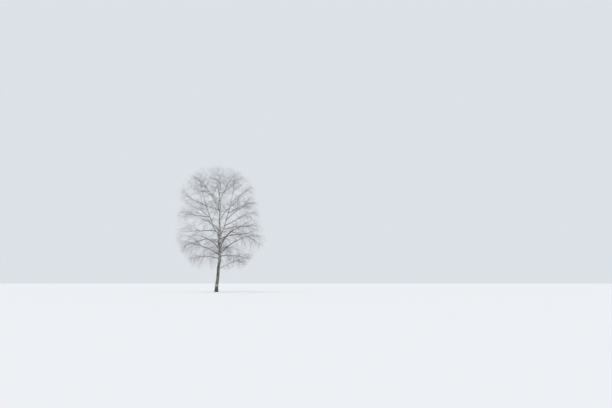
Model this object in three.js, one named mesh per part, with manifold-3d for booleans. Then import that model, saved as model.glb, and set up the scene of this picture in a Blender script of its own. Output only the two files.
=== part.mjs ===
// A bare silver birch in winter, grown in the open: a pale trunk that runs up as the leader, two strong
// side stems, boughs that rise and arch out to a broad domed crown, and a mass of bare twigs on each.
// Millimetres, +Z up. The origin is the centre of the flat cut under the trunk, at ground level.
// +X is to the right and +Y is away from the side that the tree is seen from.

import * as THREE from "three";
import { mergeVertices } from "three/addons/utils/BufferGeometryUtils.js";
import Module from "manifold-3d";

const wasm = await Module();
wasm.setup();

// The crown's outline: its radius at heights from the foot to the shoulder, under a dome to the full height
const TREE_HEIGHT = 18000;
const SHOULDER = { height: 13200, radius: 5500 };
const CROWN_RADII = [
  { height: 3000, radius: 3300 },
  { height: 7100, radius: 6600 },
  { height: 8900, radius: 6100 },
  SHOULDER,
];
const SKIRT_HEIGHT = 7100; // the crown is widest here
const SKIRT_SHIFT = 560; // and stands this far off to +X

// The trunk, by its radius at each height, and its root flare
const TRUNK_RADII = [
  { height: 0, radius: 236 },
  { height: 1300, radius: 214 },
  { height: 5000, radius: 188 },
  { height: 7600, radius: 158 },
  { height: 9000, radius: 106 },
  { height: 12500, radius: 66 },
  { height: 15000, radius: 30 },
];
const TRUNK_TOP = 15000;
const TRUNK_SIDES = 20;
const FLARE_WIDTH = 95;
const FLARE_HEIGHT = 330;
const FLARE_RINGS = [0, 80, 180, 330];
const ROOT_LOBES = 5;
const LOBE_SHARE = 0.28; // share of the flare that comes and goes with the lobes
const LEAN = 370; // the trunk leans over to +X by this much
const LEAN_HEIGHT = 4600;
const SWAY = 70; // and waves about that line
const SWAY_PITCH = 3400;
const SWAY_START = 4200;
const SWAY_ASIDE = 0.7; // turns along Y for each one along X

// Limbs grow by steps of one length until they reach the crown's outline
const LIMB_STEP = 300;
const RING_STRIDE = 2; // a limb's solid has a ring at every second step
const LIMB_SIDES = 7;
const LIMB_WANDER = THREE.MathUtils.degToRad(13);
const WANDER_KEPT = 0.55; // share of one step's wander that the next one keeps
const GIRTH_PER_LENGTH = 0.0092; // a bough's radius at its root, for its length
const LIMB_TAPER = 0.85;
const BARE_SHARE = 0.36; // a bough bears no twigs on this share of its length
const CLEARANCE = 0.3;
const FIRST_SEED = 7100;

// Side stems and boughs: the parent, the height on it, the compass direction (0 is +X, 90 is +Y), the rise
// above level at the root and at the outline, and how early it bends from the one to the other
const LIMBS = [
  {
    name: "left_stem", from: "trunk", at: 7850, toward: 173,
    rise: 50, endRise: 75, bend: 5, girth: 88, bare: 0.66,
  },
  {
    name: "right_stem", from: "trunk", at: 7700, toward: 350,
    rise: 67, endRise: 80, bend: 4, girth: 84, bare: 0.64,
  },
  { name: "right_lowest", from: "trunk", at: 3200, toward: 346, rise: 30, endRise: 6, girth: 34 },
  { name: "right_low", from: "trunk", at: 5080, toward: 328, rise: 0, endRise: -8 },
  { name: "right_rising", from: "trunk", at: 5350, toward: 6, rise: 44, endRise: -14, bare: 0.52 },
  { name: "back_low", from: "trunk", at: 4900, toward: 80, rise: 32, endRise: -4 },
  { name: "left_back", from: "trunk", at: 6100, toward: 134, rise: 34, endRise: 0 },
  { name: "left_lower", from: "trunk", at: 5150, toward: 174, rise: 28, endRise: 2 },
  { name: "left_low", from: "trunk", at: 4700, toward: 202, rise: 14, endRise: -24 },
  { name: "front_low", from: "trunk", at: 5600, toward: 268, rise: 30, endRise: -4 },
  { name: "right_riser", from: "trunk", at: 5850, toward: 42, rise: 66, endRise: 6, bend: 2 },
  { name: "right_droop", from: "trunk", at: 7400, toward: 12, rise: 24, endRise: -20 },
  { name: "right_far", from: "right_stem", at: 8800, toward: 352, rise: 14, endRise: 8 },
  { name: "front_mid", from: "trunk", at: 6600, toward: 302, rise: 38, endRise: -4 },
  { name: "back_mid", from: "trunk", at: 7050, toward: 92, rise: 42, endRise: -4 },
  { name: "left_far", from: "left_stem", at: 8560, toward: 186, rise: 8, endRise: -4 },
  { name: "front_left", from: "trunk", at: 8500, toward: 238, rise: 26, endRise: -2 },
  { name: "right_high", from: "right_stem", at: 9250, toward: 4, rise: 36, endRise: 8 },
  { name: "right_front", from: "right_stem", at: 10200, toward: 322, rise: 40, endRise: 10 },
  { name: "front_high", from: "trunk", at: 9600, toward: 266, rise: 42, endRise: 6 },
  { name: "back_high", from: "trunk", at: 9900, toward: 62, rise: 44, endRise: 8 },
  { name: "left_high", from: "left_stem", at: 10600, toward: 180, rise: 10, endRise: 6 },
  { name: "left_rear", from: "left_stem", at: 10500, toward: 128, rise: 38, endRise: 8 },
  { name: "right_upper", from: "right_stem", at: 11100, toward: 12, rise: 34, endRise: 16 },
  { name: "right_shoulder", from: "right_stem", at: 12500, toward: 2, rise: 50, endRise: 30 },
  { name: "left_upper", from: "left_stem", at: 12100, toward: 176, rise: 34, endRise: 22 },
  { name: "front_upper", from: "trunk", at: 11200, toward: 228, rise: 52, endRise: 30 },
  { name: "back_upper", from: "trunk", at: 12000, toward: 98, rise: 56, endRise: 34 },
  { name: "high_front", from: "trunk", at: 12700, toward: 300, rise: 56, endRise: 38 },
];
const LEADER_TIP = { name: "top", from: "trunk", at: TRUNK_TOP, toward: 190, rise: 84, endRise: 76, bare: 0 };

// Forks: lesser boughs at even steps along the stem of each mass, from `start` to `end`. `spread` is the
// angle off the stem in degrees, and `flatten` lays a fork level. A fork reaches `reach` for each length of
// stem that is left past it, takes the most open way round its stem, and ends where another limb is near.
const FORKS = { start: 0.03, end: 0.95, spread: 50, flatten: 0.8, reach: 0.9 };
const FORK_TURNS = 5;
const FORKS_PER_STEP = [ // of a stem that starts at these heights
  { height: 5000, value: 0.36 },
  { height: 7500, value: 0.21 },
  { height: 10000, value: 0.32 },
  { height: 13000, value: 0.56 },
];
const LEAST_REACH = 1800;
const LEAST_FORK_STEPS = 4;
const FORK_CLEARANCE = 220;
const FORK_SEEDS = 40;
const FORK_GIRTH = 0.7; // most that a fork's radius is of its stem's there
const FORK_GIRTH_PER_LENGTH = 0.0095;
const END_RISES = [
  { height: 5500, value: -55 }, // low forks hang at their ends
  { height: 9000, value: -10 },
  { height: 14000, value: 45 }, // and high ones rise
];

// Branchlets stand at even steps along every stem and fork, and the solids have the middle one of each
// `solidStride`. `sag` turns each of a branchlet's steps down.
const BRANCHLETS = {
  perStep: 1.26, solidStride: 8, start: 0.04, spread: 50, flatten: 0.8,
  length: 2000, sag: 0.06, girth: 13, wander: 0.32, ringStride: 3,
};
const TWIG_STEPS = 6;
const TWIG_SIDES = 3;
const FORK_SIDES = 3;
const STEM_SIDES = 4;
const GOLDEN_ANGLE = THREE.MathUtils.degToRad(137.5);
const TIP_LENGTH = 0.55; // a child at its parent's tip has this share of the length of one at its root
const LENGTH_SPREAD = 0.4;
const CHILD_GIRTH = 0.55; // most that a child's radius is of its parent's there
const FITS = [1, 0.7, 0.45]; // shares of its length that a twig tries, and it is skipped if none fits
const SPACE_MARGIN = 90; // a twig stays this far inside its own mass's space
const LIMB_MARGIN = 80; // and this far off every limb

const TRUNK_BARK = new THREE.MeshStandardMaterial({ color: 0x9d9c92, roughness: 0.85, metalness: 0 });
const BOUGH_BARK = new THREE.MeshStandardMaterial({ color: 0x6f6a66, roughness: 0.85, metalness: 0 });
const TWIG_BARK = new THREE.MeshStandardMaterial({ color: 0x5d5253, roughness: 0.8, metalness: 0 });

const UP = new THREE.Vector3(0, 0, 1);

// A repeatable run of numbers from 0 to 1, so that the same tree grows each time.
function makeDice(seed) {
  let state = seed;
  return () => {
    state = (Math.imul(state, 1664525) + 1013904223) >>> 0;
    return state / 2 ** 32;
  };
}

function childSeed(seed, index) {
  return (Math.imul(seed, 69069) + index * 7919 + 1) >>> 0;
}

// The value at a height between stations that each give one, and the end ones' beyond them.
function valueAt(stations, height, key) {
  const above = stations.findIndex((station) => station.height >= height);
  if (above <= 0) return stations.at(above)[key];
  const low = stations[above - 1];
  const high = stations[above];
  return THREE.MathUtils.mapLinear(height, low.height, high.height, low[key], high[key]);
}

// How far out a point is: under 1 inside the crown, and 1 on its outline.
function crownShare(point) {
  if (point.z < CROWN_RADII[0].height) return Infinity;
  const shift = SKIRT_SHIFT * Math.max(0, 1 - Math.abs(point.z / SKIRT_HEIGHT - 1));
  const out = Math.hypot(point.x - shift, point.y);
  if (point.z <= SHOULDER.height) return out / valueAt(CROWN_RADII, point.z, "radius");
  const up = (point.z - SHOULDER.height) / (TREE_HEIGHT - SHOULDER.height);
  return Math.hypot(out / SHOULDER.radius, up);
}

// Frames along a line: at each point the way on, and two directions across it that don't twist.
function framesAlong(line, firstWay) {
  let across = new THREE.Vector3(1, 0, 0);
  return line.map((point, i) => {
    const before = line[Math.max(i - 1, 0)];
    const after = line[Math.min(i + 1, line.length - 1)];
    const way = i === 0 && firstWay ? firstWay.clone() : after.clone().sub(before).normalize();
    if (i === 0 && Math.abs(way.x) > 0.9) across.set(0, 1, 0);
    across = across.clone().addScaledVector(way, -across.dot(way)).normalize();
    return { point, way, across, over: way.clone().cross(across) };
  });
}

// A closed tube through frames: a cylinder bent along them. A last radius of 0 gives it a point.
function tubeGeometry(frames, radii, sides, flare = () => 0) {
  const last = frames.length - 1;
  const tube = new THREE.CylinderGeometry(radii[last] > 0 ? 1 : 0, 1, last, sides, last);
  const spots = tube.getAttribute("position");
  const spot = new THREE.Vector3();
  for (let i = 0; i < spots.count; i++) {
    spot.fromBufferAttribute(spots, i);
    const ring = Math.round(spot.y + last / 2);
    const { point, across, over } = frames[ring];
    const angle = Math.atan2(spot.z, spot.x);
    const share = Math.hypot(spot.x, spot.z);
    const radius = share * (radii[ring] + flare(angle, point.z));
    spot.copy(point)
      .addScaledVector(over, radius * Math.cos(angle))
      .addScaledVector(across, radius * Math.sin(angle));
    spots.setXYZ(i, spot.x, spot.y, spot.z);
  }
  tube.deleteAttribute("normal");
  tube.deleteAttribute("uv");
  return mergeVertices(tube);
}

function solidOf(geometry) {
  return new wasm.Manifold(
    new wasm.Mesh({
      numProp: 3,
      vertProperties: geometry.getAttribute("position").array,
      triVerts: new Uint32Array(geometry.index.array),
    }),
  );
}

// The largest closed body of a solid: loose scraps are left out.
function wholeOf(solid) {
  return solid.decompose().reduce((best, body) => (body.volume() > best.volume() ? body : best));
}

// A named mesh whose geometry is measured from its limb's root.
function meshOf(name, solid, root, material) {
  const { vertProperties, triVerts } = wholeOf(solid).getMesh();
  const geometry = new THREE.BufferGeometry();
  geometry.setAttribute("position", new THREE.BufferAttribute(vertProperties, 3));
  geometry.setIndex(new THREE.BufferAttribute(triVerts, 1));
  geometry.translate(-root.x, -root.y, -root.z);
  geometry.computeVertexNormals();
  const mesh = new THREE.Mesh(geometry, material);
  mesh.name = name;
  return mesh;
}

// The trunk's axis: a lean that builds up over the lower trunk, with a slow wave about it.
function trunkPoint(height) {
  const grown = THREE.MathUtils.smoothstep(height, 0, LEAN_HEIGHT);
  const turn = (2 * Math.PI * (height - SWAY_START)) / SWAY_PITCH;
  const x = LEAN * grown + SWAY * grown * Math.sin(turn);
  return new THREE.Vector3(x, SWAY * grown * Math.cos(SWAY_ASIDE * turn), height);
}

function growTrunk() {
  const heights = Array.from({ length: TRUNK_TOP / LIMB_STEP + 1 }, (_, i) => i * LIMB_STEP);
  return {
    name: "trunk",
    line: heights.map(trunkPoint),
    radii: heights.map((height) => valueAt(TRUNK_RADII, height, "radius")),
  };
}

// Where a limb's line passes a height: the point, and the limb's radius there.
function crossing(limb, height) {
  const i = limb.line.findIndex((point, k) => k > 0 && point.z >= height);
  const share = (height - limb.line[i - 1].z) / (limb.line[i].z - limb.line[i - 1].z);
  return {
    point: limb.line[i - 1].clone().lerp(limb.line[i], share),
    radius: THREE.MathUtils.lerp(limb.radii[i - 1], limb.radii[i], share),
  };
}

// A line that grows by even steps until it reaches the crown's outline or its own reach. Its rise turns from
// `rise` to `endRise` as it nears the outline, and it ends at a ring of its solid.
function growLine(root, row, dice, reach = Infinity, firstShare = 0) {
  const line = [root];
  let turn = 0;
  let lift = 0;
  while (LIMB_STEP * (line.length - 1) < reach) {
    const point = line.at(-1);
    const climbed = (point.z - root.z) / (TREE_HEIGHT - root.z);
    const share = Math.max(crownShare(point), climbed);
    if (share >= 1) break;
    const bent = 1 - (1 - Math.max(0, share - firstShare) / (1 - firstShare)) ** (row.bend ?? 1);
    turn = WANDER_KEPT * turn + (dice() - 0.5) * LIMB_WANDER;
    lift = WANDER_KEPT * lift + (dice() - 0.5) * LIMB_WANDER;
    const rise = THREE.MathUtils.degToRad(THREE.MathUtils.lerp(row.rise, row.endRise, bent)) + lift;
    const toward = THREE.MathUtils.degToRad(row.toward) + turn;
    const level = Math.cos(rise);
    const way = new THREE.Vector3(level * Math.cos(toward), level * Math.sin(toward), Math.sin(rise));
    line.push(point.clone().addScaledVector(way, LIMB_STEP));
  }
  return line;
}

function wholeRings(line) {
  return line.length % RING_STRIDE === 0 ? line.slice(0, -1) : line;
}

function taperedRadii(line, girth) {
  return line.map((_, i) => girth * (1 - i / (line.length - 1)) ** LIMB_TAPER);
}

// A limb grows from its parent's axis to the crown's outline. Its first part is the bough, and the rest is
// the stem that carries a mass of twigs.
function growLimb(row, parent, seed) {
  const start = crossing(parent, row.at);
  const line = wholeRings(growLine(start.point, row, makeDice(seed)));
  const length = (line.length - 1) * LIMB_STEP;
  const radii = taperedRadii(line, Math.min(row.girth ?? GIRTH_PER_LENGTH * length, start.radius));
  const bareSteps = RING_STRIDE * Math.round(((row.bare ?? BARE_SHARE) * line.length) / RING_STRIDE);
  return {
    ...row, seed, line,
    frames: framesAlong(line, bareSteps > 0 ? null : UP),
    bough: { line: line.slice(0, bareSteps + 1), radii: radii.slice(0, bareSteps + 1) },
    stem: { seed, line: line.slice(bareSteps), radii: radii.slice(bareSteps) },
    forks: [],
    radii, bareSteps,
  };
}

// A direction off a parent's: tilted by the kind's spread, turned round it, and laid level.
function headingOff(way, turn, kind) {
  const side = way.clone().cross(UP).normalize();
  const over = side.clone().cross(way);
  const spread = THREE.MathUtils.degToRad(kind.spread);
  const heading = way.clone().multiplyScalar(Math.cos(spread))
    .addScaledVector(side, Math.sin(spread) * Math.cos(turn))
    .addScaledVector(over, Math.sin(spread) * Math.sin(turn));
  heading.z *= kind.flatten;
  return heading.normalize();
}

// How far a point is from a line, or from the surface of the limb that has these radii.
function distanceTo({ line, radii }, point, toSurface) {
  const segment = new THREE.Line3();
  const nearest = new THREE.Vector3();
  return line.slice(1).reduce((least, end, i) => {
    segment.set(line[i], end).closestPointToPoint(point, true, nearest);
    return Math.min(least, nearest.distanceTo(point) - (toSurface ? radii[i] : 0));
  }, Infinity);
}

function distanceToAll(woods, point) {
  return woods.reduce((least, wood) => Math.min(least, distanceTo(wood, point, false)), Infinity);
}

// One fork of a limb's stem, on the most open side, or none where there is no room for it.
function growFork(limb, index, count, others) {
  const { line, radii } = limb.stem;
  const last = line.length - 1;
  const share = FORKS.start + (FORKS.end - FORKS.start) * ((index + 0.5) / count);
  const step = Math.max(1, Math.floor(share * last));
  const root = line[step];
  const firstShare = crownShare(root);
  if (firstShare >= 1) return null;
  const way = line[step + 1].clone().sub(root).normalize();
  const reach = LEAST_REACH + FORKS.reach * (1 - share) * last * LIMB_STEP;
  const seed = childSeed(limb.seed, index + FORK_SEEDS);
  const own = [limb, ...limb.forks];
  let best = null;
  let bestRoom = 0;
  for (let turnNumber = 0; turnNumber < FORK_TURNS; turnNumber++) {
    const dice = makeDice(seed);
    const turn = index * GOLDEN_ANGLE + dice() - 0.5 + (2 * Math.PI * turnNumber) / FORK_TURNS;
    const heading = headingOff(way, turn, FORKS);
    const row = {
      toward: THREE.MathUtils.radToDeg(Math.atan2(heading.y, heading.x)),
      rise: THREE.MathUtils.radToDeg(Math.asin(heading.z)),
      endRise: valueAt(END_RISES, root.z, "value"),
    };
    const tried = growLine(root, row, dice, reach, firstShare);
    const near = tried.findIndex((point) => distanceToAll(others, point) < FORK_CLEARANCE);
    const open = wholeRings(near < 0 ? tried : tried.slice(0, near));
    if (open.length <= LEAST_FORK_STEPS) continue;
    const room = distanceToAll([...others, ...own], open.at(-1));
    if (room > bestRoom) [best, bestRoom] = [open, room];
  }
  if (!best) return null;
  const length = (best.length - 1) * LIMB_STEP;
  const girth = Math.min(FORK_GIRTH * radii[step], FORK_GIRTH_PER_LENGTH * length);
  return { seed, line: best, radii: taperedRadii(best, girth) };
}

function everyNth(list, stride) {
  return list.filter((_, i) => i % stride === 0);
}

// The trunk's solid: level rings, closer together over the root flare, which stands out in lobes.
function trunkSolid(extra) {
  const spacing = LIMB_STEP * RING_STRIDE;
  const even = Array.from({ length: TRUNK_TOP / spacing }, (_, i) => (i + 1) * spacing);
  const heights = [...FLARE_RINGS, ...even];
  const frames = heights.map((height) => ({
    point: trunkPoint(height), across: new THREE.Vector3(1, 0, 0), over: new THREE.Vector3(0, 1, 0),
  }));
  const radii = heights.map((height) => valueAt(TRUNK_RADII, height, "radius") + extra);
  const flare = (angle, height) => {
    const lobe = 1 - LOBE_SHARE + LOBE_SHARE * Math.cos(ROOT_LOBES * angle);
    return FLARE_WIDTH * lobe * Math.exp(-height / FLARE_HEIGHT);
  };
  return solidOf(tubeGeometry(frames, radii, TRUNK_SIDES, flare));
}

function boughSolid(limb, extra) {
  const frames = everyNth(limb.frames.slice(0, limb.bareSteps + 1), RING_STRIDE);
  const radii = everyNth(limb.bough.radii, RING_STRIDE).map((radius) => radius + extra);
  return solidOf(tubeGeometry(frames, radii, LIMB_SIDES));
}

// A twig's line: it sets off on its heading, and each step sags and wanders a little.
function twigLine(root, heading, length, kind, seed) {
  const dice = makeDice(seed);
  const line = [root];
  const way = heading.clone();
  for (let i = 0; i < TWIG_STEPS; i++) {
    way.x += (dice() - 0.5) * kind.wander;
    way.y += (dice() - 0.5) * kind.wander;
    way.z += (dice() - 0.5) * kind.wander - kind.sag;
    way.normalize();
    line.push(line[i].clone().addScaledVector(way, length / TWIG_STEPS));
  }
  return line;
}

// One branchlet of a stem or fork: they stand at even steps along it, each turned on by the golden angle.
function growBranchlet(parent, index, count, fits) {
  const kind = BRANCHLETS;
  const seed = childSeed(parent.seed, index);
  const dice = makeDice(seed);
  const share = kind.start + (1 - kind.start) * ((index + 0.5) / count);
  const spot = share * (parent.line.length - 1);
  const step = Math.floor(spot);
  const root = parent.line[step].clone().lerp(parent.line[step + 1], spot - step);
  const way = parent.line[step + 1].clone().sub(parent.line[step]).normalize();
  const heading = headingOff(way, index * GOLDEN_ANGLE + dice() - 0.5, kind);
  const length = kind.length * (1 - (1 - TIP_LENGTH) * share) * (1 + (dice() - 0.5) * LENGTH_SPREAD);
  const parentRadius = THREE.MathUtils.lerp(parent.radii[step], parent.radii[step + 1], spot - step);
  const girth = Math.min(kind.girth, CHILD_GIRTH * parentRadius);
  for (const fit of FITS) {
    const line = twigLine(root, heading, fit * length, kind, seed);
    if (fits(line)) return { line, radii: line.map((_, i) => girth * (1 - i / TWIG_STEPS)) };
  }
  return null;
}

// Whether a twig keeps inside the crown, to its own mass's space, and off every limb.
function keepsToSpace(line, own, others, wood) {
  return line.slice(1).every((point) => {
    if (crownShare(point) > 1) return false;
    if (wood.some((limb) => distanceTo(limb, point, true) < LIMB_MARGIN)) return false;
    return distanceToAll(others, point) > distanceToAll(own, point) + SPACE_MARGIN;
  });
}

function tubeAlong(line, radii, stride, sides) {
  return solidOf(tubeGeometry(everyNth(framesAlong(line), stride), everyNth(radii, stride), sides));
}

// One mass of twigs, joined into one solid: the stem that goes on from the bough, its forks, and the
// branchlets on them all.
function massSolid(limb, others, wood) {
  const frames = everyNth(limb.frames.slice(limb.bareSteps), RING_STRIDE);
  const start = frames[0];
  frames[0] = { ...start, point: start.point.clone().addScaledVector(start.way, CLEARANCE) };
  const own = [limb.stem, ...limb.forks];
  const fits = (line) => keepsToSpace(line, own, others, wood);
  const solids = [solidOf(tubeGeometry(frames, everyNth(limb.stem.radii, RING_STRIDE), STEM_SIDES))];
  solids.push(...limb.forks.map((fork) => tubeAlong(fork.line, fork.radii, RING_STRIDE, FORK_SIDES)));
  for (const parent of own) {
    const count = Math.round(BRANCHLETS.perStep * (parent.line.length - 1));
    for (let index = BRANCHLETS.solidStride / 2; index < count; index += BRANCHLETS.solidStride) {
      const twig = growBranchlet(parent, index, count, fits);
      if (twig) solids.push(tubeAlong(twig.line, twig.radii, BRANCHLETS.ringStride, TWIG_SIDES));
    }
  }
  return wasm.Manifold.union(solids);
}

const trunk = growTrunk();
const grown = { trunk };
[...LIMBS, LEADER_TIP].forEach((row, i) => {
  grown[row.name] = growLimb(row, grown[row.from], FIRST_SEED + i);
});
const limbs = Object.values(grown).slice(1);
for (const limb of limbs) {
  const others = [trunk, ...limbs.filter((other) => other !== limb).flatMap((other) => [other, ...other.forks])];
  const perStep = valueAt(FORKS_PER_STEP, limb.stem.line[0].z, "value");
  const count = Math.round(perStep * (limb.stem.line.length - 1));
  for (let index = 0; index < count; index++) {
    const fork = growFork(limb, index, count, others);
    if (fork) limb.forks.push(fork);
  }
}
const boughs = limbs.filter((limb) => limb.bareSteps > 0).map((limb) => limb.bough);

// Each limb's group stands at the limb's root, in its parent's group, and holds the bough and the mass.
const tree = new THREE.Group();
const groups = { trunk: { group: tree, root: new THREE.Vector3(), grownSolid: trunkSolid(CLEARANCE) } };
tree.add(meshOf("trunk", trunkSolid(0), groups.trunk.root, TRUNK_BARK));
for (const limb of limbs) {
  const parent = groups[limb.from];
  const root = limb.line[0];
  const group = new THREE.Group();
  group.position.subVectors(root, parent.root);
  parent.group.add(group);
  if (limb.bareSteps > 0) {
    const isStem = limb.name.endsWith("_stem");
    const name = isStem ? limb.name : limb.name + "_bough";
    const solid = boughSolid(limb, 0).subtract(parent.grownSolid);
    group.add(meshOf(name, solid, root, isStem ? TRUNK_BARK : BOUGH_BARK));
    groups[limb.name] = { group, root, grownSolid: boughSolid(limb, CLEARANCE) };
  }
  const others = limbs.filter((other) => other !== limb).flatMap(({ stem, forks }) => [stem, ...forks]);
  const mass = massSolid(limb, others, [trunk, ...boughs]);
  group.add(meshOf(limb.name + "_twigs", mass, root, TWIG_BARK));
}

export default tree;
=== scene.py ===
# A bare silver birch in winter, 18 m tall, that has grown alone in the open: a pale trunk with a dark rough
# foot, two pale side stems, dark boughs, and a broad domed crown of bare twigs that hang at their ends.
# Metres, +Z up, with the foot of the trunk at the origin. +Y is away from the camera.

import math

import bmesh
import bpy
import numpy as np
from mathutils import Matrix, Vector, noise


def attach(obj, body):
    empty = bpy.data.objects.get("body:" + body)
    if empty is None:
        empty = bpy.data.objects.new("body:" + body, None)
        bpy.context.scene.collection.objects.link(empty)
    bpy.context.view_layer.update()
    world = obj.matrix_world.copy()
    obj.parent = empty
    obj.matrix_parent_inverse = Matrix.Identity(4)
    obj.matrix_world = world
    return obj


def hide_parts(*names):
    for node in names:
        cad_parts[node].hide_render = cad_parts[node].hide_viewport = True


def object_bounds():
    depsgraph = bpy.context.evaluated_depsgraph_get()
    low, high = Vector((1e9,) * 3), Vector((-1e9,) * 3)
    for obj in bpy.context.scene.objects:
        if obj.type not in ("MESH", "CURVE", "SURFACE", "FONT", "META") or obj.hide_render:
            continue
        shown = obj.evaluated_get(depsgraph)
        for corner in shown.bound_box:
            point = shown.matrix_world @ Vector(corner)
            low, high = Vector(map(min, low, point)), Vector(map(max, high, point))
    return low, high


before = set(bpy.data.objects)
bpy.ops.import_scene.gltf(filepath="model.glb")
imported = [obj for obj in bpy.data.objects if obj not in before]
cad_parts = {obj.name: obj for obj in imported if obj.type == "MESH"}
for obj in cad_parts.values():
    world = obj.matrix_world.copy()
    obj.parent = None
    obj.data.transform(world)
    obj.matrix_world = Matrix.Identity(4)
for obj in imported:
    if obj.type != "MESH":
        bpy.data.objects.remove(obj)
cad_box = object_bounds()

# The lines that the wood grew along, by the same rule as the CAD source: the trunk's axis, and the side
# stems and boughs that leave it. Each limb grows by even steps until it reaches the crown's outline.

TREE_HEIGHT = 18.0
SHOULDER_HEIGHT = 13.2
SHOULDER_RADIUS = 5.5
CROWN_HEIGHTS = (3.0, 7.1, 8.9, SHOULDER_HEIGHT)
CROWN_RADII = (3.3, 6.6, 6.1, SHOULDER_RADIUS)
SKIRT_HEIGHT = 7.1  # the crown is widest here, and stands off to +X
SKIRT_SHIFT = 0.56

TRUNK_HEIGHTS = (0.0, 1.3, 5.0, 7.6, 9.0, 12.5, 15.0)
TRUNK_RADII = (0.236, 0.214, 0.188, 0.158, 0.106, 0.066, 0.030)
TRUNK_TOP = 15.0
LEAN = 0.37
LEAN_HEIGHT = 4.6
SWAY = 0.07
SWAY_PITCH = 3.4
SWAY_START = 4.2
SWAY_ASIDE = 0.7

LIMB_STEP = 0.3
LIMB_WANDER = math.radians(13)
WANDER_KEPT = 0.55
GIRTH_PER_LENGTH = 0.0092
LIMB_TAPER = 0.85
BARE_SHARE = 0.36
FIRST_SEED = 7100
TRUNK_SEED = 7000

# Each limb: its parent and the height on it, its compass direction (0 is +X and 90 is +Y), and its rise above
# level at the root and at the outline. Some say how early they bend, their girth, or the share that is bare.
LIMBS = (
    ("left_stem", "trunk", 7.85, 173, 50, 75, {"bend": 5, "girth": 0.088, "bare": 0.66}),
    ("right_stem", "trunk", 7.7, 350, 67, 80, {"bend": 4, "girth": 0.084, "bare": 0.64}),
    ("right_lowest", "trunk", 3.2, 346, 30, 6, {"girth": 0.034}),
    ("right_low", "trunk", 5.08, 328, 0, -8, {}),
    ("right_rising", "trunk", 5.35, 6, 44, -14, {"bare": 0.52}),
    ("back_low", "trunk", 4.9, 80, 32, -4, {}),
    ("left_back", "trunk", 6.1, 134, 34, 0, {}),
    ("left_lower", "trunk", 5.15, 174, 28, 2, {}),
    ("left_low", "trunk", 4.7, 202, 14, -24, {}),
    ("front_low", "trunk", 5.6, 268, 30, -4, {}),
    ("right_riser", "trunk", 5.85, 42, 66, 6, {"bend": 2}),
    ("right_droop", "trunk", 7.4, 12, 24, -20, {}),
    ("right_far", "right_stem", 8.8, 352, 14, 8, {}),
    ("front_mid", "trunk", 6.6, 302, 38, -4, {}),
    ("back_mid", "trunk", 7.05, 92, 42, -4, {}),
    ("left_far", "left_stem", 8.56, 186, 8, -4, {}),
    ("front_left", "trunk", 8.5, 238, 26, -2, {}),
    ("right_high", "right_stem", 9.25, 4, 36, 8, {}),
    ("right_front", "right_stem", 10.2, 322, 40, 10, {}),
    ("front_high", "trunk", 9.6, 266, 42, 6, {}),
    ("back_high", "trunk", 9.9, 62, 44, 8, {}),
    ("left_high", "left_stem", 10.6, 180, 10, 6, {}),
    ("left_rear", "left_stem", 10.5, 128, 38, 8, {}),
    ("right_upper", "right_stem", 11.1, 12, 34, 16, {}),
    ("right_shoulder", "right_stem", 12.5, 2, 50, 30, {}),
    ("left_upper", "left_stem", 12.1, 176, 34, 22, {}),
    ("front_upper", "trunk", 11.2, 228, 52, 30, {}),
    ("back_upper", "trunk", 12.0, 98, 56, 34, {}),
    ("high_front", "trunk", 12.7, 300, 56, 38, {}),
    ("top", "trunk", TRUNK_TOP, 190, 84, 76, {"bare": 0}),
)


def unit(vectors):
    """Vectors of the same directions, all of length 1."""
    return vectors / np.linalg.norm(vectors, axis=-1, keepdims=True)


def dice(seed):
    """A repeatable run of numbers from 0 to 1, for one seed or for an array of them."""
    while True:
        seed = (seed * 1664525 + 1013904223) % 2**32
        yield seed / 2**32


def crown_share(points):
    """How far out points are: under 1 inside the crown, and 1 on its outline."""
    x, y, z = np.moveaxis(np.asarray(points), -1, 0)
    shift = SKIRT_SHIFT * np.maximum(0, 1 - np.abs(z / SKIRT_HEIGHT - 1))
    out = np.hypot(x - shift, y)
    below = out / np.interp(z, CROWN_HEIGHTS, CROWN_RADII)
    above = np.hypot(out / SHOULDER_RADIUS, (z - SHOULDER_HEIGHT) / (TREE_HEIGHT - SHOULDER_HEIGHT))
    share = np.where(z <= SHOULDER_HEIGHT, below, above)
    return np.where(z < CROWN_HEIGHTS[0], np.inf, share)


def fade(values, low, high):
    """0 at low and 1 at high, eased at both ends."""
    share = np.clip((values - low) / (high - low), 0, 1)
    return share * share * (3 - 2 * share)


def trunk_axis(heights):
    """The trunk's axis: a lean that builds up over the lower trunk, with a slow wave about it."""
    grown = fade(heights, 0, LEAN_HEIGHT)
    turn = 2 * math.pi * (heights - SWAY_START) / SWAY_PITCH
    x = LEAN * grown + SWAY * grown * np.sin(turn)
    y = SWAY * grown * np.cos(SWAY_ASIDE * turn)
    return np.stack([x, y, heights], axis=-1)


def grow_line(root, toward, rise, end_rise, bend, roll, reach=math.inf, first_share=0.0):
    """A limb's line: even steps from its root, until it reaches the crown's outline or its own reach."""
    points = [root]
    turn = lift = 0.0
    while LIMB_STEP * (len(points) - 1) < reach:
        climbed = (points[-1][2] - root[2]) / (TREE_HEIGHT - root[2])
        share = max(float(crown_share(points[-1])), climbed)
        if share >= 1:
            break
        bent = 1 - (1 - max(0, share - first_share) / (1 - first_share)) ** bend
        turn = WANDER_KEPT * turn + (next(roll) - 0.5) * LIMB_WANDER
        lift = WANDER_KEPT * lift + (next(roll) - 0.5) * LIMB_WANDER
        steep = math.radians(rise + (end_rise - rise) * bent) + lift
        heading = math.radians(toward) + turn
        level = math.cos(steep)
        way = (level * math.cos(heading), level * math.sin(heading), math.sin(steep))
        points.append(points[-1] + LIMB_STEP * np.array(way))
    return np.array(points)


def nearest(value):
    """The nearest whole number, as the CAD source rounds."""
    return math.floor(value + 0.5)


def whole_rings(line):
    """The line without its last point, where that would leave a ring of the CAD solid unfinished."""
    return line[:-1] if len(line) % 2 == 0 else line


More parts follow.
